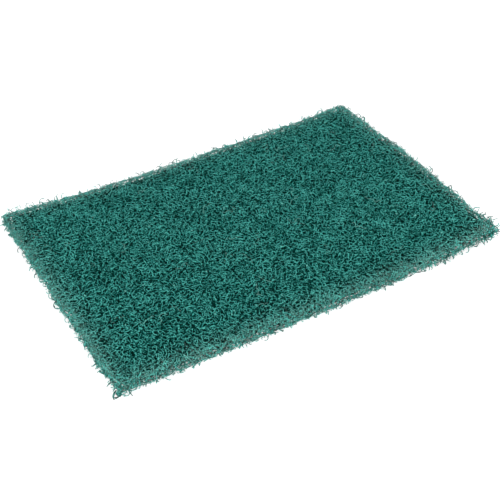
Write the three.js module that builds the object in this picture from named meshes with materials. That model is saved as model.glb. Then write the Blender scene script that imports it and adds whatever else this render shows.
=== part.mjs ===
// A scouring pad of bonded nonwoven nylon web, lying on a surface with its ends slightly lifted.
// Millimetres, +Z up. +X runs along the pad and +Y across it. The origin is under the pad's middle,
// on the surface that it rests on.
//
// The pad is one closed shell. Its upper face and its underside are web relief, crossing ridges of bunched
// strands with pits between them, and a ragged cut edge, rounded over at both faces, joins the two.

import * as THREE from 'three';

// The cut size. The thickness is from ridge to ridge.
const LENGTH = 230;
const WIDTH = 150;
const THICKNESS = 8;
const CORNER_RADIUS = 6;

// The cut edge: how far it rolls in at each face, how full that roll is, how deep the notches in it go,
// and how far the rim of each face dips where strands are missing.
const EDGE_ROUND = 3;
const EDGE_FULLNESS = 0.6;
const FRAY_DEPTH = 2;
const RIM_DIP = 0.9;

// The web: ridges run in several headings, each set moved sideways by its offset. They wander sideways and
// come and go along their run, down to the faded share of their height. Their tops are pressed flat, so
// that the flattened share of their height is missing.
const RELIEF_DEPTH = 2.4;
const RIDGE_SPACING = 9;
const RIDGE_SHARPNESS = 1.5;
const WANDER_WIDTH = 2.4;
const WANDER_LENGTH = 33;
const FADE_LENGTH = 24;
const FADE_SLANT = 0.6;
const FADED_SHARE = 0.3;
const FLATTENED_SHARE = 0.1;
const RIDGE_SETS = [
  { heading: 12, offset: 0 },
  { heading: 72, offset: 4 },
  { heading: 131, offset: 7 },
];

// The ridges of the underside lie this far from those of the upper face.
const UNDERSIDE_OFFSET = 5.7;

// How the pad lies: a middle stretch is flat and both ends lift, the +X end with an arch across it.
const REST_LENGTH = 57;
const RIGHT_LIFT = 2.5;
const RIGHT_ARCH = 2.5;
const RIGHT_TWIST = -1.5;
const LEFT_LIFT = 1.4;
const LEFT_TWIST = 1.3;

// The fineness of the mesh, how far its points slide towards the nearest ridge or pit, and the distance
// over which a slope is felt.
const CELLS_ALONG = 57;
const CELLS_ACROSS = 37;
const EDGE_ROWS = 4;
const SLIDE = 0.8;
const FEELER = 0.5;

// A repeatable number from 0 to 1 for each set of three numbers.
function scatter(a, b, c) {
  const mixed = Math.sin(a * 12.9898 + b * 78.233 + c * 37.719) * 43758.5453;
  return mixed - Math.floor(mixed);
}

// A smooth wave from 0 to 1 that is 1 at the start and repeats every period.
function wave(distance, period) {
  return 0.5 + 0.5 * Math.cos(2 * Math.PI * distance / period);
}

// The web's height at a place: 0 at the bottom of a pit and 1 on a ridge. The highest ridge counts.
function webHeight(x, y, faceOffset) {
  const heights = RIDGE_SETS.map(({ heading, offset }) => {
    const angle = THREE.MathUtils.degToRad(heading);
    const shift = offset + faceOffset;
    const along = x * Math.cos(angle) + y * Math.sin(angle) + shift;
    const across = y * Math.cos(angle) - x * Math.sin(angle) + shift;
    const wander = WANDER_WIDTH * Math.sin(2 * Math.PI * along / WANDER_LENGTH);
    const run = FADED_SHARE + (1 - FADED_SHARE) * wave(along + FADE_SLANT * across, FADE_LENGTH);
    return run * wave(across + wander, RIDGE_SPACING) ** RIDGE_SHARPNESS;
  });
  return Math.min(1, Math.max(...heights) / (1 - FLATTENED_SHARE));
}

// Slides a place uphill if it is nearer to a ridge, or downhill if it is nearer to the bottom of a pit.
function slideToRelief(x, y, faceOffset) {
  const slopeX = webHeight(x + FEELER, y, faceOffset) - webHeight(x - FEELER, y, faceOffset);
  const slopeY = webHeight(x, y + FEELER, faceOffset) - webHeight(x, y - FEELER, faceOffset);
  const steepness = Math.hypot(slopeX, slopeY);
  if (steepness === 0) {
    return [x, y];
  }
  const way = webHeight(x, y, faceOffset) > 0.5 ? SLIDE / steepness : -SLIDE / steepness;
  return [x + way * slopeX, y + way * slopeY];
}

// How far the pad lifts off the surface at a place.
function lift(x, y) {
  const across = 2 * y / WIDTH;
  const reach = (LENGTH - REST_LENGTH) / 2;
  const beyondRest = (distance) => Math.max(0, (distance - REST_LENGTH / 2) / reach) ** 2;
  const right = RIGHT_LIFT + RIGHT_ARCH * (1 - across ** 2) + RIGHT_TWIST * across;
  const left = LEFT_LIFT + LEFT_TWIST * across;
  return beyondRest(x) * right + beyondRest(-x) * left;
}

// The place in plan of a grid point on the rectangle that lies the given inset inside the cut line. In the
// square at each corner, a point is brought in so that the square's outer sides become the corner's arc.
function planPoint(i, j, inset) {
  const radius = Math.max(CORNER_RADIUS, EDGE_ROUND) - inset;
  const centreX = LENGTH / 2 - inset - radius;
  const centreY = WIDTH / 2 - inset - radius;
  const x = (i / CELLS_ALONG - 0.5) * (LENGTH - 2 * inset);
  const y = (j / CELLS_ACROSS - 0.5) * (WIDTH - 2 * inset);
  const outX = Math.abs(x) - centreX;
  const outY = Math.abs(y) - centreY;
  if (outX <= 0 || outY <= 0) {
    return [x, y];
  }
  const shrink = Math.max(outX, outY) / Math.hypot(outX, outY);
  return [Math.sign(x) * (centreX + outX * shrink), Math.sign(y) * (centreY + outY * shrink)];
}

const points = [];
const triangles = [];

// Adds a point at a height above the pad's own flat plane, and gives its number.
function addPoint(x, y, height) {
  points.push(x, y, height + lift(x, y));
  return points.length / 3 - 1;
}

// Adds two triangles for the points a, b, c and d, which go anticlockwise seen from outside the pad. They
// meet along a-c or along b-d.
function addQuad(a, b, c, d, meetAlongAC) {
  if (meetAlongAC) {
    triangles.push(a, b, c, a, c, d);
  } else {
    triangles.push(a, b, d, b, c, d);
  }
}

function isOnRim(i, j) {
  return i === 0 || j === 0 || i === CELLS_ALONG || j === CELLS_ACROSS;
}

// One face as a grid of point numbers. Its pits are sunk into the pad from the plane of the face.
function makeFace(planeHeight, inward, faceOffset) {
  const face = [];
  for (let i = 0; i <= CELLS_ALONG; i++) {
    face.push([]);
    for (let j = 0; j <= CELLS_ACROSS; j++) {
      const [gridX, gridY] = planPoint(i, j, EDGE_ROUND);
      if (isOnRim(i, j)) {
        const dip = RIM_DIP * scatter(i, j, faceOffset);
        face[i].push(addPoint(gridX, gridY, planeHeight + inward * dip));
      } else {
        const [x, y] = slideToRelief(gridX, gridY, faceOffset);
        const pit = RELIEF_DEPTH * (1 - webHeight(x, y, faceOffset));
        face[i].push(addPoint(x, y, planeHeight + inward * pit));
      }
    }
  }
  return face;
}

// The grid places around the rim, anticlockwise from above.
function rimPlaces() {
  const near = Array.from({ length: CELLS_ALONG }, (_, i) => [i, 0]);
  const right = Array.from({ length: CELLS_ACROSS }, (_, j) => [CELLS_ALONG, j]);
  const far = near.map(([i]) => [CELLS_ALONG - i, CELLS_ACROSS]);
  const left = right.map(([, j]) => [0, CELLS_ACROSS - j]);
  return [...near, ...right, ...far, ...left];
}

// One row of the cut edge, as point numbers. The edge's section is a full half ellipse from face to face,
// and about half of its points are notched in from the cut line.
function makeEdgeRow(row, places) {
  const angle = Math.PI * (0.5 - row / EDGE_ROWS);
  const outward = Math.cos(angle) ** EDGE_FULLNESS;
  const height = THICKNESS / 2 * (1 + Math.sin(angle));
  return places.map(([i, j], place) => {
    const notch = FRAY_DEPTH * Math.max(0, 2 * scatter(place, row, 0) - 1);
    const [x, y] = planPoint(i, j, EDGE_ROUND * (1 - outward));
    const [innerX, innerY] = planPoint(i, j, EDGE_ROUND + FRAY_DEPTH);
    const share = notch / Math.hypot(x - innerX, y - innerY);
    return addPoint(x + (innerX - x) * share, y + (innerY - y) * share, height);
  });
}

const heightOf = (point) => points[3 * point + 2];

// The two faces. Each cell's triangles meet along the diagonal that keeps a ridge whole.
const upper = makeFace(THICKNESS, -1, 0);
const under = makeFace(0, 1, UNDERSIDE_OFFSET);
for (let i = 0; i < CELLS_ALONG; i++) {
  for (let j = 0; j < CELLS_ACROSS; j++) {
    const [a, b, c, d] = [upper[i][j], upper[i + 1][j], upper[i + 1][j + 1], upper[i][j + 1]];
    addQuad(a, b, c, d, heightOf(a) + heightOf(c) > heightOf(b) + heightOf(d));
    const [e, f, g, h] = [under[i][j], under[i][j + 1], under[i + 1][j + 1], under[i + 1][j]];
    addQuad(e, f, g, h, heightOf(e) + heightOf(g) < heightOf(f) + heightOf(h));
  }
}

// The cut edge, in rows from the upper rim to the lower.
const places = rimPlaces();
const rows = [places.map(([i, j]) => upper[i][j])];
for (let row = 1; row < EDGE_ROWS; row++) {
  rows.push(makeEdgeRow(row, places));
}
rows.push(places.map(([i, j]) => under[i][j]));
for (let row = 0; row < EDGE_ROWS; row++) {
  const [above, below] = [rows[row], rows[row + 1]];
  for (let place = 0; place < places.length; place++) {
    const next = (place + 1) % places.length;
    addQuad(below[place], below[next], above[next], above[place], scatter(place, row, 1) > 0.5);
  }
}

const shell = new THREE.BufferGeometry();
shell.setAttribute('position', new THREE.Float32BufferAttribute(points, 3));
shell.setIndex(triangles);
shell.computeVertexNormals();

const nylonWeb = new THREE.MeshStandardMaterial({ color: 0x21645d, roughness: 0.95, metalness: 0 });

const pad = new THREE.Mesh(shell, nylonWeb);
pad.name = 'web_pad';

const scouringPad = new THREE.Group();
scouringPad.add(pad);

export default scouringPad;
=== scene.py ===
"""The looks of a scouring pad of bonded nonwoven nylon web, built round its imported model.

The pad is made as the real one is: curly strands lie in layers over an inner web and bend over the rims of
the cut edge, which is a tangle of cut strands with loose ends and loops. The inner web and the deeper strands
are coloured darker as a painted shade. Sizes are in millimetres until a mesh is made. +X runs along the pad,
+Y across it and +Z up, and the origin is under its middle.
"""

from __future__ import annotations

import logging
import math
from dataclasses import dataclass, fields, replace
from enum import Enum

import bpy
import numpy as np
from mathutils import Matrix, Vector


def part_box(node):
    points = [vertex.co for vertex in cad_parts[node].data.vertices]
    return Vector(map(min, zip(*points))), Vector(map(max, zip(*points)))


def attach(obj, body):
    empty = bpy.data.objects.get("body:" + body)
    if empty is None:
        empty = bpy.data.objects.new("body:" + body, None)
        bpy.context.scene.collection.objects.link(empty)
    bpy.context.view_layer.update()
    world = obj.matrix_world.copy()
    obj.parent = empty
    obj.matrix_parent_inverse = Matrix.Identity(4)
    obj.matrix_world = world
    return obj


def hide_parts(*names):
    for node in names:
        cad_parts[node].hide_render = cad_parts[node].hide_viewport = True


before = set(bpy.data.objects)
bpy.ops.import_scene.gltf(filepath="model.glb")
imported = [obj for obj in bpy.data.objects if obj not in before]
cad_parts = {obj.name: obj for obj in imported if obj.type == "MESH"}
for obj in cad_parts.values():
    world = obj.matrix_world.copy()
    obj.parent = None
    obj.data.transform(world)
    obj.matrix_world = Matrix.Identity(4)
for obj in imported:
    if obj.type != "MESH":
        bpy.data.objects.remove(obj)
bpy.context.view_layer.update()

MM = 0.001
FULL_TURN = 2 * math.pi
NODE = "web_pad"
BODY = "root"
BAKE_MAP = "OFBake"
# How far the web stands past the solid all round.
PROUD = 0.7
# Steps along a square's sides whose multiples, wrapped round, fill it evenly.
EVEN_STEPS = (0.7548776662, 0.5698402910)
# Keeps a length that is divided by above zero.
TINY = 1e-9
Colour = tuple[float, float, float, float]
Range = tuple[float, float]
ArrayPair = tuple[np.ndarray, np.ndarray]
log = logging.getLogger("scouring_pad")


class Face(Enum):
    """One of the pad's two broad faces."""

    UPPER = "upper"
    UNDER = "under"


class Wire:
    """One output of a shader tree. Arithmetic on it adds Math nodes."""

    def __init__(self, shader: Shader, socket: bpy.types.NodeSocket) -> None:
        """Wraps a socket of the shader's tree."""
        self.shader = shader
        self.socket = socket

    def _math(self, operation: str, first: Wire | float, second: Wire | float) -> Wire:
        """Adds one Math node that works on these two."""
        return self.shader.add("ShaderNodeMath", {"operation": operation}, {0: first, 1: second})

    def __add__(self, other: Wire | float) -> Wire:
        """This plus other."""
        return self._math("ADD", self, other)

    def __radd__(self, other: float) -> Wire:
        """Other plus this."""
        return self._math("ADD", other, self)

    def __sub__(self, other: Wire | float) -> Wire:
        """This less other."""
        return self._math("SUBTRACT", self, other)

    def __mul__(self, other: Wire | float) -> Wire:
        """This times other."""
        return self._math("MULTIPLY", self, other)


class Shader:
    """A material's or a world's node tree, to which every node is added by one method."""

    def __init__(self, tree: bpy.types.NodeTree) -> None:
        """Takes a tree and empties it."""
        self.tree = tree
        self.tree.nodes.clear()

    def add(
        self, kind: str, settings: dict | None = None, sockets: dict | None = None, output: int = 0,
    ) -> Wire:
        """Adds a node of any kind.

        Args:
            kind: The node's type.
            settings: Its own settings, set before its sockets.
            sockets: Values or wires for its inputs, by name or number.
            output: The number of the output to return.

        Returns:
            One of the node's outputs, or for a node with none, its last input.
        """
        made = self.tree.nodes.new(kind)
        for name, value in (settings or {}).items():
            setattr(made, name, value)
        for name, value in (sockets or {}).items():
            if isinstance(value, Wire):
                self.tree.links.new(value.socket, made.inputs[name])
            else:
                made.inputs[name].default_value = value
        return Wire(self, made.outputs[output] if len(made.outputs) else made.inputs[-1])

    def blend(self, share: Wire | float, first: Wire | tuple, second: Wire | tuple) -> Wire:
        """The colour that share of the way from the first to the second, by the node's colour sockets."""
        settings = {"data_type": "RGBA", "clamp_factor": True}
        return self.add("ShaderNodeMix", settings, {0: share, 6: first, 7: second}, output=2)

    def noise(self, size: float, detail: float = 2.0) -> Wire:
        """Noise from 0 to 1 on the object's own coordinates.

        Args:
            size: The rough width of its patches in millimetres.
            detail: How many finer layers it has.

        Returns:
            The noise's value.
        """
        place = self.add("ShaderNodeTexCoord", output=3)
        sockets = {"Vector": place, "Scale": 1 / (size * MM), "Detail": detail}
        return self.add("ShaderNodeTexNoise", None, sockets)

    def finish(self, sockets: dict) -> None:
        """Ends a material's tree with a Principled surface that has these values and wires."""
        surface = self.add("ShaderNodeBsdfPrincipled", None, sockets)
        self.add("ShaderNodeOutputMaterial", None, {"Surface": surface})


def from_srgb(red: float, green: float, blue: float) -> Colour:
    """Turns a colour as it is seen into one for a socket, by the sRGB curve.

    Args:
        red: The red part, up to 255.
        green: The green part.
        blue: The blue part.

    Returns:
        The linear colour, with an alpha of 1.
    """
    parts = [value / 255 for value in (red, green, blue)]
    linear = [part / 12.92 if part <= 0.04045 else ((part + 0.055) / 1.055) ** 2.4 for part in parts]
    return (*linear, 1.0)


def new_material(name: str) -> tuple[bpy.types.Material, Shader]:
    """A new material and its empty tree."""
    made = bpy.data.materials.new(name)
    made.use_nodes = True
    return made, Shader(made.node_tree)


@dataclass(frozen=True)
class CoatedNylon:
    """Nylon strands in a coat of resin with fine grit, coloured by attributes that hold painted shade and
    light too.
    """

    name: str = "coated_nylon"
    # deep is mostly a painted shade for strands deep in the web, and pale's grey tinge is partly a painted
    # sheen.
    deep: Colour = from_srgb(0, 24, 22)
    middle: Colour = from_srgb(0, 114, 105)
    pale: Colour = from_srgb(94, 204, 192)
    # greyish is where the dust attribute leads: greying of the coat, and on the rims and the cut edge partly
    # a painted light.
    greyish: Colour = from_srgb(158, 194, 184)
    roughness: float = 0.5
    roughness_change: float = 0.3
    # The speckle is partly a painted glint and shade, partly an uneven coat.
    speckle: float = 0.65
    speckle_strength: float = 5.0
    grain: float = 0.3
    grain_depth: float = 0.03
    grain_strength: float = 0.6
    specular: float = 0.03

    def material(self) -> bpy.types.Material:
        """Builds the material.

        Colour goes from deep by way of middle to pale by the shade attribute moved by a fine speckle, and
        then towards the greyish colour by the dust attribute. Deep is mostly a painted shade, the
        speckle is partly a painted glint and shade and partly an uneven coat, and pale's grey tinge is partly
        a painted sheen. Roughness follows the speckle and the bump a finer noise.

        Returns:
            The finished material.
        """
        made, shader = new_material(self.name)
        shade = shader.add("ShaderNodeAttribute", {"attribute_name": "shade"}, output=2)
        dust = shader.add("ShaderNodeAttribute", {"attribute_name": "dust"}, output=2)
        speckle = shader.noise(self.speckle) - 0.5
        share = (shade + speckle * self.speckle_strength) * 2
        coat = shader.blend(share - 1, shader.blend(share, self.deep, self.middle), self.pale)
        colour = shader.blend(dust, coat, self.greyish)
        bump = shader.add("ShaderNodeBump", None, {
            "Strength": self.grain_strength, "Distance": self.grain_depth * MM,
            "Height": shader.noise(self.grain),
        })
        shader.finish({
            "Base Color": colour, "Roughness": self.roughness + speckle * self.roughness_change,
            "Normal": bump, "Specular IOR Level": self.specular,
        })
        return made


@dataclass(frozen=True)
class PaintedShadeNylon:
    """The dense inner web: strands too close to tell apart, coloured dark as a painted shade for its depth.
    """

    name: str = "painted_shade_nylon"
    # Both colours are dark as a painted shade for the depth of the web.
    deep: Colour = from_srgb(0, 12, 10)
    pale: Colour = from_srgb(0, 82, 74)
    tangle: float = 0.7
    tangle_detail: float = 3.0
    tangle_depth: float = 0.5
    contrast: float = 3.0
    darkness: float = 1.2
    roughness: float = 0.9
    specular: float = 0.05

    def material(self) -> bpy.types.Material:
        """Builds the material: a noise of the strands' size mixes its two colours and is its bump.

        Returns:
            The finished material.
        """
        made, shader = new_material(self.name)
        tangle = shader.noise(self.tangle, self.tangle_detail)
        sockets = {"Strength": 1.0, "Distance": self.tangle_depth * MM, "Height": tangle}
        bump = shader.add("ShaderNodeBump", None, sockets)
        colour = shader.blend(tangle * self.contrast - self.darkness, self.deep, self.pale)
        shader.finish({
            "Base Color": colour, "Roughness": self.roughness,
            "Normal": bump, "Specular IOR Level": self.specular,
        })
        return made


def waves(
    rng: np.random.Generator, x: np.ndarray, y: np.ndarray, length: float, count: int = 7,
    spread: Range = (0.7, 1.4),
) -> np.ndarray:
    """A smooth random field over the plan, with a spread of about 1.

    It is the sum of a few plane sine waves with random headings, lengths and starts.

    Args:
        rng: The source of the random choices.
        x: Places along the pad.
        y: Places across it.
        length: The mean length of the waves in millimetres.
        count: How many waves there are.
        spread: The least and greatest length of a wave over the mean.

    Returns:
        The field at those places.
    """
    total = np.zeros_like(x)
    for _ in range(count):
        heading, start = rng.uniform(0, FULL_TURN, 2)
        turn = FULL_TURN / (length * rng.uniform(*spread))
        total += np.sin(turn * (x * math.cos(heading) + y * math.sin(heading)) + start)
    return total * math.sqrt(2 / count)


def even_scatter(
    rng: np.random.Generator, form: PadForm, past: float, area_each: float, jitter: float = 0.6,
) -> np.ndarray:
    """Random places over the pad in plan and so far past its sides, more even than chance.

    Each is a step of a fixed share of both sides on from the last, wrapped round, and then moved a little.

    Args:
        rng: The source of the random choices.
        form: The pad's form.
        past: How far past its sides the places go.
        area_each: The area for each place.
        jitter: The spread of the last move, over a mean gap between places.

    Returns:
        The places, as pairs.
    """
    half = np.array([form.length / 2 + past, form.width / 2 + past])
    count = round(4 * half[0] * half[1] / area_each)
    places = rng.uniform(0, 1, 2) + np.arange(count)[:, None] * np.array(EVEN_STEPS)
    return (2 * ((places + rng.normal(0, jitter / math.sqrt(count), (count, 2))) % 1) - 1) * half


def unit(vectors: np.ndarray) -> np.ndarray:
    """The vectors with each brought to length 1."""
    return vectors / np.maximum(np.linalg.norm(vectors, axis=-1, keepdims=True), TINY)


@dataclass(frozen=True)
class Pores:
    """The web's larger openings: round spots on a jittered lattice where strands part."""

    spacing: float = 1.75
    smallest: float = 0.2
    largest: float = 1.15
    parting: float = 1.0
    seed: int = 5
    table: int = 160

    def at(self, x: np.ndarray, y: np.ndarray) -> ArrayPair:
        """How the nearest pores part and sink the web.

        In a pore of radius r, a point at distance d from its middle is moved straight out by a share of
        r - d, and it sinks by 1 - d / r. The sums run over the lattice cells round each place.

        Args:
            x: Places along the pad.
            y: Places across it.

        Returns:
            The moves in plan, and how much each place sinks, from 0 to 1.
        """
        rng = np.random.default_rng(self.seed)
        offset_x, offset_y, size = rng.uniform(0, 1, (3, self.table, self.table))
        radius = self.smallest + (self.largest - self.smallest) * size**2
        cell_x = np.floor(x / self.spacing).astype(int)
        cell_y = np.floor(y / self.spacing).astype(int)
        move = np.zeros((*x.shape, 2))
        sunk = np.zeros_like(x)
        for beside_x in (-1, 0, 1):
            for beside_y in (-1, 0, 1):
                i, j = (cell_x + beside_x) % self.table, (cell_y + beside_y) % self.table
                from_x = x - (cell_x + beside_x + offset_x[i, j]) * self.spacing
                from_y = y - (cell_y + beside_y + offset_y[i, j]) * self.spacing
                distance = np.hypot(from_x, from_y) + TINY
                inside = np.maximum(radius[i, j] - distance, 0)
                move[..., 0] += self.parting * inside * from_x / distance
                move[..., 1] += self.parting * inside * from_y / distance
                sunk = np.maximum(sunk, inside / radius[i, j])
        return move, sunk


@dataclass(frozen=True)
class Evener:
    """Moves strands from crowded to bare places, so that a layer covers its face evenly."""

    cell: float = 0.5
    reach: float = 1.5
    push: float = 0.8
    rounds: int = 5
    border: float = 4.0
    least: float = 0.2

    def moved(self, x: np.ndarray, y: np.ndarray) -> ArrayPair:
        """Evens out places in plan.

        In each round the places in every cell of a grid are counted, and the counts are blurred by a bell
        curve as wide as the reach. Each place then moves down the slope of the logarithm of the counts. The
        border is in reaches, and the least count is over the mean one.

        Args:
            x: Places along the pad.
            y: Places across it.

        Returns:
            The places after the moves.
        """
        border = self.border * self.reach
        low_x, low_y = x.min() - border, y.min() - border
        columns = math.ceil((x.max() + border - low_x) / self.cell)
        rows = math.ceil((y.max() + border - low_y) / self.cell)
        turn_x = np.fft.fftfreq(columns, self.cell)[:, None]
        turn_y = np.fft.rfftfreq(rows, self.cell)
        bell = np.exp(-2 * (math.pi * self.reach) ** 2 * (turn_x**2 + turn_y**2))
        push = self.push * self.reach**2
        for _ in range(self.rounds):
            i = np.clip((x - low_x) / self.cell, 0, columns - 1).astype(int)
            j = np.clip((y - low_y) / self.cell, 0, rows - 1).astype(int)
            counts = np.bincount((i * rows + j).ravel(), minlength=columns * rows).reshape(columns, rows)
            blurred = np.fft.irfft2(np.fft.rfft2(counts) * bell, s=counts.shape)
            filled = np.maximum(blurred, self.least * counts.mean())
            slope_x, slope_y = np.gradient(np.log(filled), self.cell)
            x, y = x - push * slope_x[i, j], y - push * slope_y[i, j]
        return x, y


@dataclass(frozen=True)
class PadForm:
    """The pad's outer form: a slab with round rims and corners whose ends lift a little."""

    length: float
    width: float
    thickness: float = 8.0
    edge_round: float = 2.0
    corner_radius: float = 2.6
    rest_length: float = 57.0
    right_lift: float = 2.5
    right_arch: float = 2.5
    right_twist: float = -1.5
    left_lift: float = 1.4
    left_twist: float = 1.3
    far_bow: float = 1.8
    near_bow: float = 0.8
    wobble: float = 0.3
    wobble_length: float = 30.0
    seed: int = 2

    @property
    def rolled(self) -> float:
        """The length of the quarter turn at a rim."""
        return self.edge_round * math.pi / 2

    @property
    def wall(self) -> float:
        """The height of the straight part of the cut edge."""
        return self.thickness - 2 * self.edge_round

    @property
    def reach(self) -> float:
        """How far beyond the flat of a face its skin runs, down to the middle of the cut edge."""
        return self.rolled + self.wall / 2

    def lift(self, x: np.ndarray, y: np.ndarray) -> np.ndarray:
        """How far the pad lifts off the surface at places in plan.

        Beyond the middle stretch the lift grows with the square of the distance. At the +X end it has an
        arch and a twist across the pad, and at the other end a twist.

        Args:
            x: Places along the pad.
            y: Places across it.

        Returns:
            The lift at each place.
        """
        across = 2 * y / self.width
        span = (self.length - self.rest_length) / 2
        right = np.maximum(0, (x - self.rest_length / 2) / span) ** 2
        left = np.maximum(0, (-x - self.rest_length / 2) / span) ** 2
        right_end = self.right_lift + self.right_arch * (1 - across**2) + self.right_twist * across
        return right * right_end + left * (self.left_lift + self.left_twist * across)

    def beyond_flat(self, x: np.ndarray, y: np.ndarray) -> ArrayPair:
        """How far each place lies beyond the flat of a face, and which way is out.

        Args:
            x: Places along the pad.
            y: Places across it.

        Returns:
            The distances, which are negative on the flat, and the ways out in plan, of length 1 or 0.
        """
        past_x = np.abs(x) - (self.length / 2 - self.corner_radius)
        past_y = np.abs(y) - (self.width / 2 - self.corner_radius)
        out_x, out_y = np.maximum(past_x, 0), np.maximum(past_y, 0)
        out = np.hypot(out_x, out_y)
        way = np.stack([np.sign(x) * out_x, np.sign(y) * out_y], -1) / np.maximum(out, TINY)[..., None]
        inside = np.minimum(np.maximum(past_x, past_y), 0)
        return out + inside - (self.corner_radius - self.edge_round), way

    def skin(self, x: np.ndarray, y: np.ndarray, depth: np.ndarray, face: Face) -> ArrayPair:
        """Lays places in plan on a face's skin, which rolls over the rim and down the cut edge.

        Beyond the flat, the distance turns into a quarter circle of the rim's radius, then a straight drop,
        a second quarter circle and a run back inward. Each place then sinks along the skin's normal by its
        depth, and lifts with the pad. Last, the far long side bows in and the near one out, by a parabola
        along the pad times the square of the distance from its middle line.

        Args:
            x: Places along the pad. Those beyond the flat run on over the rim.
            y: Places across it.
            depth: How far each place lies under the skin.
            face: The face that they lie on.

        Returns:
            The points and the skin's outward normals.
        """
        beyond, way = self.beyond_flat(x, y)
        over = np.maximum(beyond, 0)
        first = np.minimum(over, self.rolled) / self.edge_round
        straight = np.clip(over - self.rolled, 0, self.wall)
        second = np.clip(over - self.rolled - self.wall, 0, self.rolled) / self.edge_round
        back = np.maximum(over - 2 * self.rolled - self.wall, 0)
        rng = np.random.default_rng(self.seed)
        uneven = self.wobble * waves(rng, x, y, self.wobble_length) * np.minimum(over / self.edge_round, 1)
        outward = self.edge_round * (np.sin(first) - 1 + np.cos(second)) - back - over + uneven
        drop = self.edge_round * (1 - np.cos(first) + np.sin(second)) + straight
        angle = first + second
        normal = np.concatenate([way * np.sin(angle)[..., None], np.cos(angle)[..., None]], -1)
        plan = np.stack([x, y], -1) + way * outward[..., None]
        points = np.concatenate([plan, (self.thickness - drop)[..., None]], -1) - depth[..., None] * normal
        if face is Face.UNDER:
            points[..., 2] = self.thickness - points[..., 2]
            normal[..., 2] *= -1
        points[..., 2] += self.lift(points[..., 0], points[..., 1])
        along = np.clip(2 * points[..., 0] / self.length, -1, 1)
        across = 2 * points[..., 1] / self.width
        bow = np.where(across > 0, self.far_bow, self.near_bow)
        points[..., 1] -= bow * (1 - along**2) * across**2
        return points, normal


@dataclass
class Strands:
    """Many strands: for each its centre line, the way that it faces, its radius, colour and kept steps."""

    centre: np.ndarray
    facing: np.ndarray
    radius: np.ndarray
    shade: np.ndarray
    dust: np.ndarray
    kept: np.ndarray

    def part(self, number: int, parts: int) -> Strands:
        """Every so-manieth strand, from that number on."""
        return Strands(*(getattr(self, each.name)[number::parts] for each in fields(self)))


@dataclass(frozen=True)
class Curl:
    """How strands wander: sine swings of the heading, each with its wave's lengths and size, on a turn."""

    length: float = 11.0
    step: float = 0.85
    swings: tuple[tuple[float, float, float], ...] = ((5.0, 8.5, 0.75), (11.0, 22.0, 1.1))
    swing_spread: Range = (0.5, 1.3)
    turn: float = 0.09

    @property
    def run(self) -> np.ndarray:
        """The distance along a strand of each of its points."""
        return np.arange(round(self.length / self.step) + 1) * self.step

    def paths(self, rng: np.random.Generator, middles: np.ndarray) -> ArrayPair:
        """Walks each strand in small steps, and brings its mean to its given place.

        The heading is a start value, plus a steady turn, plus the swings.

        Args:
            rng: The source of the random choices.
            middles: Where the strands lie in plan.

        Returns:
            The plan coordinates by strand and step.
        """
        one_each = (len(middles), 1)
        heading = rng.uniform(0, FULL_TURN, one_each) + rng.normal(0, self.turn, one_each) * self.run
        for shortest, longest, swing in self.swings:
            turn = FULL_TURN / rng.uniform(shortest, longest, one_each)
            size = swing * rng.uniform(*self.swing_spread, one_each)
            heading = heading + size * np.sin(turn * self.run + rng.uniform(0, FULL_TURN, one_each))
        x = np.cumsum(np.cos(heading), 1) * self.step
        y = np.cumsum(np.sin(heading), 1) * self.step
        x += middles[:, :1] - x.mean(1, keepdims=True)
        y += middles[:, 1:] - y.mean(1, keepdims=True)
        return x, y


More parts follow.
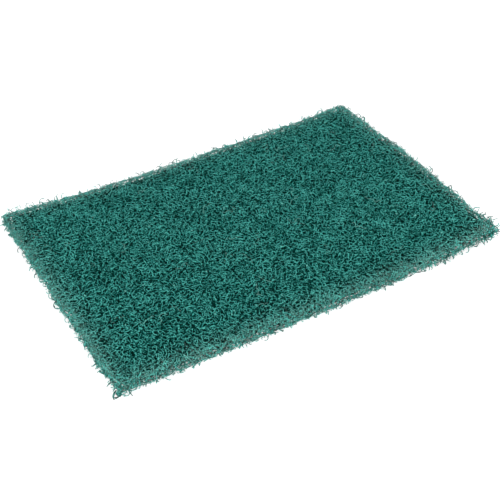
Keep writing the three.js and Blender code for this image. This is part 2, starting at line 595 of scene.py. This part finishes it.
@dataclass(frozen=True)
class WebLayer:
    """One layer of curly strands on a face. Spacing is the face's area over the strands' whole length."""

    name: str
    face: Face
    seed: int
    spacing: float
    depth: Range
    crimp: Range
    shade: float
    radius: Range = (0.16, 0.23)
    crimp_length: Range = (3.8, 6.5)
    ends: Range = (2.2, 5.2)
    flare: float = 0.9
    flare_start: float = 2.0
    flare_run: float = 3.0
    pore_sinking: float = 0.5
    swell: float = 0.05
    swell_length: float = 15.0
    strand_spread: float = 0.2
    speckle: float = 0.16
    depth_painted_shade: float = 0.35
    # rim_level, rim_run and rim_dust_and_light pale the strands towards the rim: partly greying, partly a
    # painted light.
    rim_level: float = 0.9
    rim_run: float = 16.0
    rim_dust_and_light: float = 0.2
    greyish_share: float = 0.008
    greyish: float = 0.35
    girth_change: float = 0.2
    girth_waves: float = 1.7
    curl: Curl = Curl()
    parts: int = 1

    def strands(self, form: PadForm, pores: Pores, evener: Evener) -> Strands:
        """Lays the layer's strands.

        Strands wander over evenly scattered places, are evened out, and pores part them twice. Their depth
        is a start value plus a crimp, which is a sine, plus a slow swell and the pores' sinking. It rises out
        of the skin by a square law from the flare's start on, and ends near there. Deeper stretches are
        darker as a painted shade, and the strands grow paler and greyer by a square law towards the rim,
        partly by greying and partly as a painted light. The radius follows a sine too.

        Args:
            form: The pad's form.
            pores: The web's openings.
            evener: What evens the strands out.

        Returns:
            The layer's strands.
        """
        rng = np.random.default_rng(self.seed)
        margin = form.reach + self.curl.length / 4
        places = even_scatter(rng, form, margin, self.spacing * self.curl.length)
        one_each = (len(places), 1)
        run = self.curl.run
        x, y = evener.moved(*self.curl.paths(rng, places))
        for _ in range(2):
            moves, sunk = pores.at(x, y)
            x, y = x + moves[..., 0], y + moves[..., 1]
        beyond = form.beyond_flat(x, y)[0]

        crimp_turn = FULL_TURN / rng.uniform(*self.crimp_length, one_each)
        rise = np.sin(crimp_turn * run + rng.uniform(0, FULL_TURN, one_each))
        depth = rng.uniform(*self.depth, one_each) + rng.uniform(*self.crimp, one_each) * rise
        depth = depth + self.swell * waves(rng, x, y, self.swell_length) + self.pore_sinking * sunk
        shade = self.shade + rng.normal(0, self.strand_spread, one_each)
        # The speckle along strands is partly an uneven coat and partly a painted glint and shade.
        shade = shade + rng.normal(0, self.speckle, x.shape)
        # Deeper stretches darker: a painted shade.
        shade = shade - self.depth_painted_shade * (depth - sum(self.depth) / 2)
        flared = np.clip((beyond - self.flare_start) / self.flare_run, 0, 1) ** 2
        depth = depth - rng.uniform(0, self.flare, one_each) * flared
        centre, facing = form.skin(x, y, depth, self.face)
        on_skin = beyond < rng.uniform(*self.ends, one_each)
        greyish = self.greyish * (rng.random(one_each) < self.greyish_share)
        # Paler and greyer towards the rim: partly greying, partly a painted light on the rims.
        dust = greyish + self.rim_dust_and_light * np.clip(beyond / self.rim_run + self.rim_level, 0, 1) ** 2
        uneven = 1 + self.girth_change * np.sin(crimp_turn * run * self.girth_waves)
        radius = rng.uniform(*self.radius, one_each) * uneven
        return Strands(centre, facing, radius, shade, dust, on_skin[:, 1:] & on_skin[:, :-1])


@dataclass(frozen=True)
class EdgeTangle:
    """Cut strands all over the edge, from rim to rim, whose ends stand out of it."""

    name: str
    seed: int
    spacing: float
    depth: Range
    stand_out: Range = (0.0, 1.4)
    furthest: float = 1.1
    # Shade and greying here are partly the cut ends' own paler colour and partly a painted light on the lit
    # cut edge.
    shade: float = 0.66
    dust: Range = (0.0, 0.35)
    radius: Range = (0.18, 0.26)
    band: Range = (-1.5, -0.6)
    band_fade: float = 3.0
    strand_spread: float = 0.2
    speckle: float = 0.12
    depth_painted_shade: float = 0.25
    curl: Curl = Curl(length=10.0, step=1.0, swings=((5.0, 9.0, 0.8), (11.0, 20.0, 0.9)), turn=0.12)

    def strands(self, form: PadForm) -> Strands:
        """Lays the tangle.

        A strand wanders over the edge's skin from one of its places, which thin out at the upper end of the
        band. Its depth is a start value less a share of the cube of the distance from its middle, so that
        its ends come out, but no further than the furthest.

        Args:
            form: The pad's form.

        Returns:
            The strands.
        """
        rng = np.random.default_rng(self.seed)
        span = 2 * form.reach
        places = even_scatter(rng, form, span - form.edge_round, self.spacing * self.curl.length)
        beyond = form.beyond_flat(places[:, 0], places[:, 1])[0]
        first = rng.uniform(self.band[0], self.band[0] + self.band_fade, len(places))
        places = places[(beyond > first) & (beyond < span + self.band[1])]
        one_each = (len(places), 1)
        x, y = self.curl.paths(rng, places)
        share = np.abs(2 * self.curl.run / self.curl.length - 1) ** 3
        depth = rng.uniform(*self.depth, one_each) - rng.uniform(*self.stand_out, one_each) * share
        depth = np.maximum(depth, -self.furthest)
        centre, facing = form.skin(x, y, depth, Face.UPPER)
        # Deeper strands darker: a painted shade.
        shade = self.shade + rng.normal(0, self.strand_spread, one_each) - self.depth_painted_shade * depth
        # The speckle along strands is partly an uneven coat and partly a painted glint and shade.
        shade = shade + rng.normal(0, self.speckle, x.shape)
        dust = rng.uniform(*self.dust, one_each) + 0 * x
        radius = rng.uniform(*self.radius, one_each) + 0 * x
        return Strands(centre, facing, radius, shade, dust, np.ones((len(places), x.shape[1] - 1), bool))


@dataclass(frozen=True)
class LooseEnds:
    """Short strands that stand out of the cut edge in part of it, straight, hooked or bent back as loops."""

    name: str
    seed: int
    area_each: float
    length: Range
    tilt: Range
    bend: Range
    steps: int = 4
    shade: float = 0.6
    dust: Range = (0.0, 0.4)
    radius: Range = (0.2, 0.29)
    root_depth: float = 0.4
    sway: float = 0.6
    strand_spread: float = 0.25
    speckle: float = 0.1
    taper: float = 0.25
    band: Range = (0.8, 10.6)
    along: Range = (-200.0, 200.0)
    across: Range = (-200.0, 200.0)

    def strands(self, form: PadForm) -> Strands:
        """Plants the strands.

        Each starts a little under the skin. Its tilt from the skin's normal grows evenly along it, in a plane
        through the normal that slowly turns, and its points are the running sum of its steps.

        Args:
            form: The pad's form.

        Returns:
            The strands.
        """
        rng = np.random.default_rng(self.seed)
        places = even_scatter(rng, form, 2 * form.reach, self.area_each)
        x, y = places[:, 0], places[:, 1]
        beyond, way = form.beyond_flat(x, y)
        here = (beyond > self.band[0]) & (beyond < self.band[1])
        here &= (x > self.along[0]) & (x < self.along[1]) & (y > self.across[0]) & (y < self.across[1])
        x, y, way = x[here], y[here], way[here]
        one_each = (len(x), 1)
        root, normal = form.skin(x, y, np.full(len(x), self.root_depth), Face.UPPER)
        beside = np.stack([-way[:, 1], way[:, 0], 0 * x], -1)
        down = np.cross(normal, beside)

        share = np.linspace(0, 1, self.steps + 1)
        tilt = rng.uniform(*self.tilt, one_each) + rng.uniform(*self.bend, one_each) * share
        spin = rng.uniform(0, FULL_TURN, one_each) + rng.uniform(-self.sway, self.sway, one_each) * share
        sideways = beside[:, None] * np.cos(spin)[..., None] + down[:, None] * np.sin(spin)[..., None]
        heading = normal[:, None] * np.cos(tilt)[..., None] + sideways * np.sin(tilt)[..., None]
        stride = rng.uniform(*self.length, one_each) / self.steps
        centre = root[:, None] + np.cumsum(heading * stride[..., None], 1)
        facing = down[:, None] * np.cos(spin)[..., None] - beside[:, None] * np.sin(spin)[..., None]
        shade = self.shade + rng.normal(0, self.strand_spread, one_each)
        # The speckle along strands is partly an uneven coat and partly a painted glint and shade.
        shade = shade + rng.normal(0, self.speckle, (len(x), self.steps + 1))
        dust = rng.uniform(*self.dust, one_each) + 0 * shade
        radius = rng.uniform(*self.radius, one_each) * (1 - self.taper * share)
        return Strands(centre, facing, radius, shade, dust, np.ones((len(x), self.steps), bool))


@dataclass(frozen=True)
class ResinBeads:
    """Drops of resin that dried on the strands of both faces."""

    name: str = "resin_beads"
    seed: int = 301
    area_each: float = 420.0
    length: Range = (0.7, 1.7)
    girth: Range = (0.28, 0.55)
    tip: float = 0.15
    depth: float = 0.45
    shade: float = 1.0
    shade_spread: float = 0.2
    dust: float = 0.25
    steps: int = 5

    def strands(self, form: PadForm) -> Strands:
        """Lays the drops as very short straight strands whose radius follows a half sine over a blunt tip.

        Args:
            form: The pad's form.

        Returns:
            The drops.
        """
        rng = np.random.default_rng(self.seed)
        share = np.linspace(0, 1, self.steps + 1)
        made = []
        for face in Face:
            places = even_scatter(rng, form, -form.edge_round, self.area_each)
            one_each = (len(places), 1)
            heading = rng.uniform(0, FULL_TURN, one_each)
            run = rng.uniform(*self.length, one_each) * (share - 0.5)
            x = places[:, :1] + run * np.cos(heading)
            y = places[:, 1:] + run * np.sin(heading)
            made.append(form.skin(x, y, np.full(x.shape, self.depth), face))
        centre = np.concatenate([points for points, _ in made])
        facing = np.concatenate([normal for _, normal in made])
        profile = self.tip + (1 - self.tip) * np.sin(math.pi * share)
        one_each = (len(centre), 1)
        girth = rng.uniform(*self.girth, one_each) * profile
        shade = self.shade + rng.normal(0, self.shade_spread, one_each) + 0 * share
        dust = np.full(shade.shape, self.dust)
        return Strands(centre, facing, girth, shade, dust, np.ones((len(centre), self.steps), bool))


def new_mesh(name: str, points: np.ndarray, corners: np.ndarray, starts: np.ndarray) -> bpy.types.Mesh:
    """Puts points and faces into a mesh.

    Args:
        name: The mesh's name.
        points: The points in millimetres.
        corners: The point number at each face corner.
        starts: Each face's first corner.

    Returns:
        The mesh, in metres and smooth.
    """
    mesh = bpy.data.meshes.new(name)
    mesh.vertices.add(len(points))
    mesh.vertices.foreach_set("co", (points * MM).astype(np.float32).ravel())
    mesh.loops.add(len(corners))
    mesh.loops.foreach_set("vertex_index", corners.astype(np.int32))
    mesh.polygons.add(len(starts))
    mesh.polygons.foreach_set("loop_start", starts.astype(np.int32))
    mesh.update(calc_edges=True)
    mesh.shade_smooth()
    return mesh


def set_map(mesh: bpy.types.Mesh, places: np.ndarray) -> None:
    """Stores the mesh's flat map, one pair of numbers for each face corner."""
    mesh.uv_layers.new(name=BAKE_MAP).uv.foreach_set("vector", places.astype(np.float32).ravel())


@dataclass(frozen=True)
class StrandMesher:
    """Turns strands into one mesh of thin closed tubes."""

    sides: int = 3
    first_side: float = 0.25
    map_columns: int = 8
    map_margins: tuple[float, float] = (0.02, 0.1)
    cap_width: float = 0.4

    def rings(self, strands: Strands) -> np.ndarray:
        """The points round each strand.

        At each step of a centre line, the ring's points lie at equal angles on a circle square to the line,
        starting from the way that the strand faces.

        Args:
            strands: The strands.

        Returns:
            Points by strand, step and side.
        """
        along = unit(np.gradient(strands.centre, axis=1))
        across = unit(np.cross(along, strands.facing))
        up = np.cross(across, along)
        angle = FULL_TURN * (np.arange(self.sides) + self.first_side) / self.sides
        spokes = across[:, :, None] * np.cos(angle)[:, None] + up[:, :, None] * np.sin(angle)[:, None]
        return strands.centre[:, :, None] + strands.radius[:, :, None, None] * spokes

    def mesh(self, name: str, strands: Strands) -> bpy.types.Mesh:
        """Builds the tubes, each kept run closed by a face at both ends. None goes below the surface.

        Every corner also gets a place on a flat map, where each strand has a small cell of its own, its
        length along one side and its girth along the other.

        Args:
            name: The mesh's name.
            strands: The strands.

        Returns:
            The mesh with its shade, dust and map.
        """
        count, steps = strands.radius.shape
        centre = strands.centre
        centre[..., 2] = np.maximum(centre[..., 2], strands.radius)
        points = self.rings(strands)
        number = np.arange(count * steps * self.sides).reshape(count, steps, self.sides)
        after = np.roll(number, -1, axis=2)
        walls = np.stack([number[:, :-1], after[:, :-1], after[:, 1:], number[:, 1:]], -1)[strands.kept]
        nowhere = np.zeros((count, 1), bool)
        first = np.argwhere(strands.kept & ~np.concatenate([nowhere, strands.kept[:, :-1]], 1))
        last = np.argwhere(strands.kept & ~np.concatenate([strands.kept[:, 1:], nowhere], 1))
        front = number[first[:, 0], first[:, 1]][:, ::-1]
        back = number[last[:, 0], last[:, 1] + 1]
        corners = np.concatenate([walls.ravel(), front.ravel(), back.ravel()])
        wall_starts = 4 * np.arange(walls.size // 4)
        cap_starts = walls.size + self.sides * np.arange(len(front) + len(back))

        side = np.arange(self.sides)
        strand, step = np.nonzero(strands.kept)
        wall_u = step[:, None, None] + np.array([0, 0, 1, 1]) + np.zeros((self.sides, 1))
        wall_v = side[:, None] + np.array([0, 1, 1, 0]) + np.zeros((len(step), 1, 1))
        cap_owner = np.concatenate([first[:, 0], last[:, 0]])
        cap_step = np.concatenate([first[:, 1], last[:, 1] + 1]).astype(float)
        cap_u = cap_step[:, None] + self.cap_width * np.sin(side)
        cap_v = np.zeros((len(cap_owner), 1)) + side
        owner = np.concatenate([np.repeat(strand, 4 * self.sides), np.repeat(cap_owner, self.sides)])
        margin_u, margin_v = self.map_margins
        u = margin_u + (1 - 2 * margin_u) * np.concatenate([wall_u.ravel(), cap_u.ravel()]) / steps
        v = margin_v + (1 - 2 * margin_v) * np.concatenate([wall_v.ravel(), cap_v.ravel()]) / self.sides
        map_rows = math.ceil(count / self.map_columns)
        place_u = (owner % self.map_columns + u) / self.map_columns
        place_v = (owner // self.map_columns + v) / map_rows

        used, corners = np.unique(corners, return_inverse=True)
        mesh = new_mesh(name, points.reshape(-1, 3)[used], corners, np.concatenate([wall_starts, cap_starts]))
        for label, values in (("shade", strands.shade), ("dust", strands.dust)):
            stored = np.repeat(values.ravel(), self.sides)[used].astype(np.float32)
            mesh.attributes.new(label, "FLOAT", "POINT").data.foreach_set("value", stored)
        set_map(mesh, np.stack([place_u, place_v], -1))
        return mesh


@dataclass(frozen=True)
class InnerWeb:
    """The dense middle of the pad, seen only between the strands."""

    name: str = "inner_web"
    cell: float = 1.7
    depth: float = 1.8
    drawn_in: float = 0.9
    edge_round: float = 3.0
    corner_radius: float = 9.0
    unevenness: float = 0.25
    unevenness_length: float = 4.5
    unevenness_waves: int = 12
    pore_depth: float = 0.6
    seed: int = 11

    def grid(self, form: PadForm) -> ArrayPair:
        """A grid of places over a face's whole skin, with the skin's round corners.

        In the square at each corner, a place is brought in by its larger side over its distance from the
        square's inner corner, which turns the square's outer sides into an arc.

        Args:
            form: The pad's form.

        Returns:
            The plan coordinates by column and row.
        """
        half_x = form.length / 2 - form.edge_round + form.reach
        half_y = form.width / 2 - form.edge_round + form.reach
        x, y = np.meshgrid(
            np.linspace(-half_x, half_x, round(2 * half_x / self.cell) + 1),
            np.linspace(-half_y, half_y, round(2 * half_y / self.cell) + 1),
            indexing="ij",
        )
        inner_x, inner_y = form.length / 2 - form.corner_radius, form.width / 2 - form.corner_radius
        out_x, out_y = np.abs(x) - inner_x, np.abs(y) - inner_y
        corner = (out_x > 0) & (out_y > 0)
        shrink = np.maximum(out_x, out_y) / np.maximum(np.hypot(out_x, out_y), TINY)
        x = np.where(corner, np.sign(x) * (inner_x + out_x * shrink), x)
        y = np.where(corner, np.sign(y) * (inner_y + out_y * shrink), y)
        return x, y

    def mesh(self, form: PadForm, pores: Pores) -> bpy.types.Mesh:
        """Builds both faces of the inner web as grids that share their border.

        Its depth under the skin is a mean value plus a random field and the pores' sinking, which both
        fade out at the border. On the flat map, the faces lie side by side.

        Args:
            form: The pad's form.
            pores: The web's openings.

        Returns:
            The mesh with its map.
        """
        drawn = 2 * self.drawn_in
        form = replace(
            form, length=form.length - drawn, width=form.width - drawn,
            edge_round=self.edge_round, corner_radius=self.corner_radius,
        )
        x, y = self.grid(form)
        rng = np.random.default_rng(self.seed)
        fade = np.clip((form.reach - form.beyond_flat(x, y)[0]) / form.edge_round, 0, 1)
        uneven = self.unevenness * waves(rng, x, y, self.unevenness_length, self.unevenness_waves)
        depth = self.depth + fade * (uneven + self.pore_depth * pores.at(x, y)[1])
        upper = form.skin(x, y, depth, Face.UPPER)[0]
        under = form.skin(x, y, depth, Face.UNDER)[0]
        top = np.arange(x.size).reshape(x.shape)
        bottom = top + x.size
        border = np.ones(x.shape, bool)
        border[1:-1, 1:-1] = False
        bottom[border] = top[border]
        up = np.stack([top[:-1, :-1], top[1:, :-1], top[1:, 1:], top[:-1, 1:]], -1)
        down = np.stack([bottom[:-1, :-1], bottom[:-1, 1:], bottom[1:, 1:], bottom[1:, :-1]], -1)
        corners = np.concatenate([up.ravel(), down.ravel()])
        used, corners = np.unique(corners, return_inverse=True)
        points = np.concatenate([upper.reshape(-1, 3), under.reshape(-1, 3)])[used]
        mesh = new_mesh(self.name, points, corners, 4 * np.arange(len(corners) // 4))

        columns, rows = x.shape
        i, j = np.indices((columns - 1, rows - 1))[..., None]
        first, second = np.array([0, 1, 1, 0]), np.array([0, 0, 1, 1])
        u = np.stack([i + first, i + second + columns])
        v = np.stack([j + second, j + first])
        set_map(mesh, np.stack([u / (2 * columns), v / rows], -1))
        return mesh


@dataclass(frozen=True)
class ScouringPad:
    """The whole pad: its inner web, its layers of strands, and what stands out of its cut edge."""

    form: PadForm
    pores: Pores = Pores()
    evener: Evener = Evener()
    inner: InnerWeb = InnerWeb()
    # edge_inner's low shade is a painted shade for its depth.
    edges: tuple[EdgeTangle, ...] = (
        EdgeTangle("edge_strands", seed=201, spacing=0.62, depth=(0.0, 1.2)),
        EdgeTangle("edge_inner", seed=202, spacing=1.0, depth=(1.4, 2.8), shade=0.3),
    )
    beads: ResinBeads = ResinBeads()
    # The inner layers' low shades are a painted shade for their depth.
    layers: tuple[WebLayer, ...] = (
        WebLayer("upper_strands", Face.UPPER, seed=101, spacing=0.7, depth=(0.15, 0.7), crimp=(0.35, 0.75),
                 shade=0.65, radius=(0.13, 0.2), parts=2),
        WebLayer("upper_inner", Face.UPPER, seed=103, spacing=1.5, depth=(1.1, 1.9), crimp=(0.2, 0.5),
                 shade=0.02, curl=Curl(step=1.3)),
        WebLayer("under_strands", Face.UNDER, seed=104, spacing=1.4, depth=(0.25, 0.8), crimp=(0.3, 0.6),
                 shade=0.7, curl=Curl(step=1.2)),
        WebLayer("under_inner", Face.UNDER, seed=105, spacing=1.8, depth=(1.0, 1.7), crimp=(0.3, 0.5),
                 shade=0.3, curl=Curl(step=1.3)),
    )
    loose: tuple[LooseEnds, ...] = (
        LooseEnds("cut_ends", seed=211, area_each=5.5, length=(0.8, 1.9), tilt=(0.1, 1.1), bend=(-0.8, 0.8),
                  steps=3),
        LooseEnds("edge_loops", seed=212, area_each=18.0, length=(2.4, 4.6), tilt=(-0.6, 0.1),
                  bend=(1.8, 2.8), steps=6, shade=0.45, dust=(0.0, 0.2), radius=(0.24, 0.33)),
        LooseEnds("near_corner_tuft", seed=213, area_each=15.0, length=(4.0, 7.0), tilt=(0.0, 0.9),
                  bend=(0.5, 1.6), steps=7, shade=0.4, dust=(0.0, 0.1), radius=(0.26, 0.36),
                  band=(2.0, 9.0), along=(-200.0, -108.0), across=(-200.0, -68.0)),
        LooseEnds("right_corner_tuft", seed=215, area_each=5.0, length=(3.0, 5.5), tilt=(0.0, 0.9),
                  bend=(0.4, 1.6), steps=6, shade=0.4, dust=(0.0, 0.2), radius=(0.24, 0.33),
                  band=(0.5, 9.0), along=(106.0, 200.0), across=(-200.0, -60.0)),
        LooseEnds("rim_loops", seed=214, area_each=5.0, length=(3.0, 5.5), tilt=(-0.8, 0.0), bend=(1.8, 2.8),
                  steps=7, band=(0.5, 5.0), along=(-112.0, -78.0), across=(60.0, 200.0)),
    )
    mesher: StrandMesher = StrandMesher()
    bead_mesher: StrandMesher = StrandMesher(sides=6, map_columns=4)

    def build(self) -> None:
        """Builds every piece of the pad."""
        middle = place_piece(self.inner.mesh(self.form, self.pores), PaintedShadeNylon().material())
        coating = CoatedNylon().material()
        for layer in self.layers:
            strands = layer.strands(self.form, self.pores, self.evener)
            for number in range(layer.parts):
                name = f"{layer.name}_{number + 1}" if layer.parts > 1 else layer.name
                place_piece(self.mesher.mesh(name, strands.part(number, layer.parts)), coating)
        for tangle in (*self.edges, *self.loose):
            place_piece(self.mesher.mesh(tangle.name, tangle.strands(self.form)), coating)
        place_piece(self.bead_mesher.mesh(self.beads.name, self.beads.strands(self.form)), coating)


def new_object(name: str, data: bpy.types.ID) -> bpy.types.Object:
    """A new object, linked to the scene."""
    made = bpy.data.objects.new(name, data)
    bpy.context.collection.objects.link(made)
    return made


def place_piece(mesh: bpy.types.Mesh, material: bpy.types.Material) -> bpy.types.Object:
    """Makes a piece of the mesh, dresses it and fixes it to the frame.

    Args:
        mesh: The piece's mesh, whose name it takes.
        material: Its finish.

    Returns:
        The piece.
    """
    piece = new_object(mesh.name, mesh)
    mesh.materials.append(material)
    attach(piece, BODY)
    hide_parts(NODE)
    log.info("%s: %d triangles", piece.name, len(mesh.loops) - 2 * len(mesh.polygons))
    return piece


@dataclass(frozen=True)
class SoftLamp:
    """A square lamp that faces the pad. Angles are in degrees, lengths in metres and power in watts."""

    name: str
    azimuth: float
    elevation: float
    distance: float
    size: float
    power: float


@dataclass(frozen=True)
class Studio:
    """A white floor, soft light and the camera."""

    azimuth: float = -30.55
    elevation: float = 39.71
    distance: float = 623.58
    focal_pixels: float = 1120.59
    picture_pixels: float = 500.0
    sensor: float = 36.0
    aim: tuple[float, float, float] = (-4.85, -12.28, 0.0)
    floor_size: float = 6000.0
    floor_colour: float = 0.8
    floor_roughness: float = 0.9
    floor_glow: float = 0.5
    sky: float = 0.5
    backdrop: float = 0.92
    lamps: tuple[SoftLamp, ...] = (
        SoftLamp("key_lamp", azimuth=-50, elevation=32, distance=1.3, size=0.7, power=13.0),
        SoftLamp("fill_lamp", azimuth=20, elevation=35, distance=1.4, size=1.2, power=7.0),
        SoftLamp("back_lamp", azimuth=150, elevation=45, distance=1.4, size=1.2, power=3.0),
    )
    white: Colour = (1.0, 1.0, 1.0, 1.0)

    def back(self, azimuth: float, elevation: float) -> Vector:
        """The way from the pad to a viewer, for angles in degrees."""
        around, above = math.radians(azimuth), math.radians(elevation)
        level = math.cos(above)
        return Vector((math.sin(around) * level, -math.cos(around) * level, math.sin(above)))

    def aimed(self, name: str, data: bpy.types.ID, back: Vector, place: Vector) -> bpy.types.Object:
        """Makes a lamp or camera that looks against the way back.

        Args:
            name: The object's name.
            data: The lamp's or camera's data.
            back: The way from the pad to it.
            place: Where it stands.

        Returns:
            The object.
        """
        made = new_object(name, data)
        made.location = place
        made.rotation_euler = back.to_track_quat("Z", "Y").to_euler()
        return made

    def camera(self) -> None:
        """Makes the camera at the photograph's angle."""
        data = bpy.data.cameras.new("camera")
        data.sensor_width = self.sensor
        data.lens = self.focal_pixels / self.picture_pixels * self.sensor
        back = self.back(self.azimuth, self.elevation)
        place = (Vector(self.aim) + back * self.distance) * MM
        bpy.context.scene.camera = self.aimed("camera", data, back, place)

    def light(self, lamp: SoftLamp) -> None:
        """Makes one lamp.

        Args:
            lamp: Its place, size and power.
        """
        data = bpy.data.lights.new(lamp.name, "AREA")
        data.size = lamp.size
        data.energy = lamp.power
        back = self.back(lamp.azimuth, lamp.elevation)
        self.aimed(lamp.name, data, back, back * lamp.distance)

    def seen(self, shader: Shader) -> Wire:
        """1 for rays from the camera and through or off clear and glossy surfaces, and 0 for light."""
        rays = (shader.add("ShaderNodeLightPath", output=number) for number in (0, 3, 6))
        camera, glossy, transmission = rays
        return camera + glossy + transmission

    def world(self) -> None:
        """Makes the sky: an even white, brighter where it is seen than where it lights."""
        world = bpy.data.worlds.new("sky")
        world.use_nodes = True
        shader = Shader(world.node_tree)
        sockets = {"Color": self.white, "Strength": self.sky + self.seen(shader) * (self.backdrop - self.sky)}
        sky = shader.add("ShaderNodeBackground", None, sockets)
        shader.add("ShaderNodeOutputWorld", None, {"Surface": sky})
        bpy.context.scene.world = world

    def floor(self) -> None:
        """Makes the floor, which shows white and keeps the pad's shadow."""
        corners = np.array([[-0.5, -0.5, 0], [0.5, -0.5, 0], [0.5, 0.5, 0], [-0.5, 0.5, 0]])
        mesh = new_mesh("floor", corners * self.floor_size, np.arange(4), np.array([0]))
        material, shader = new_material("floor")
        level = self.floor_colour
        shader.finish({
            "Base Color": (level, level, level, 1.0), "Roughness": self.floor_roughness,
            "Specular IOR Level": 0.0, "Emission Color": self.white,
            "Emission Strength": self.seen(shader) * self.floor_glow,
        })
        mesh.materials.append(material)
        new_object("floor", mesh)

    def build(self) -> None:
        """Sets up the camera, the floor and the light."""
        self.camera()
        self.floor()
        self.world()
        for lamp in self.lamps:
            self.light(lamp)
        bpy.context.scene.view_settings.view_transform = "Standard"


def main() -> None:
    """Builds the studio and the pad."""
    logging.basicConfig(level=logging.INFO, format="%(message)s")
    Studio().build()
    low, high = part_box(NODE)
    form = PadForm((high[0] - low[0]) / MM + 2 * PROUD, (high[1] - low[1]) / MM + 2 * PROUD)
    ScouringPad(form).build()


if __name__ == "__main__":
    main()
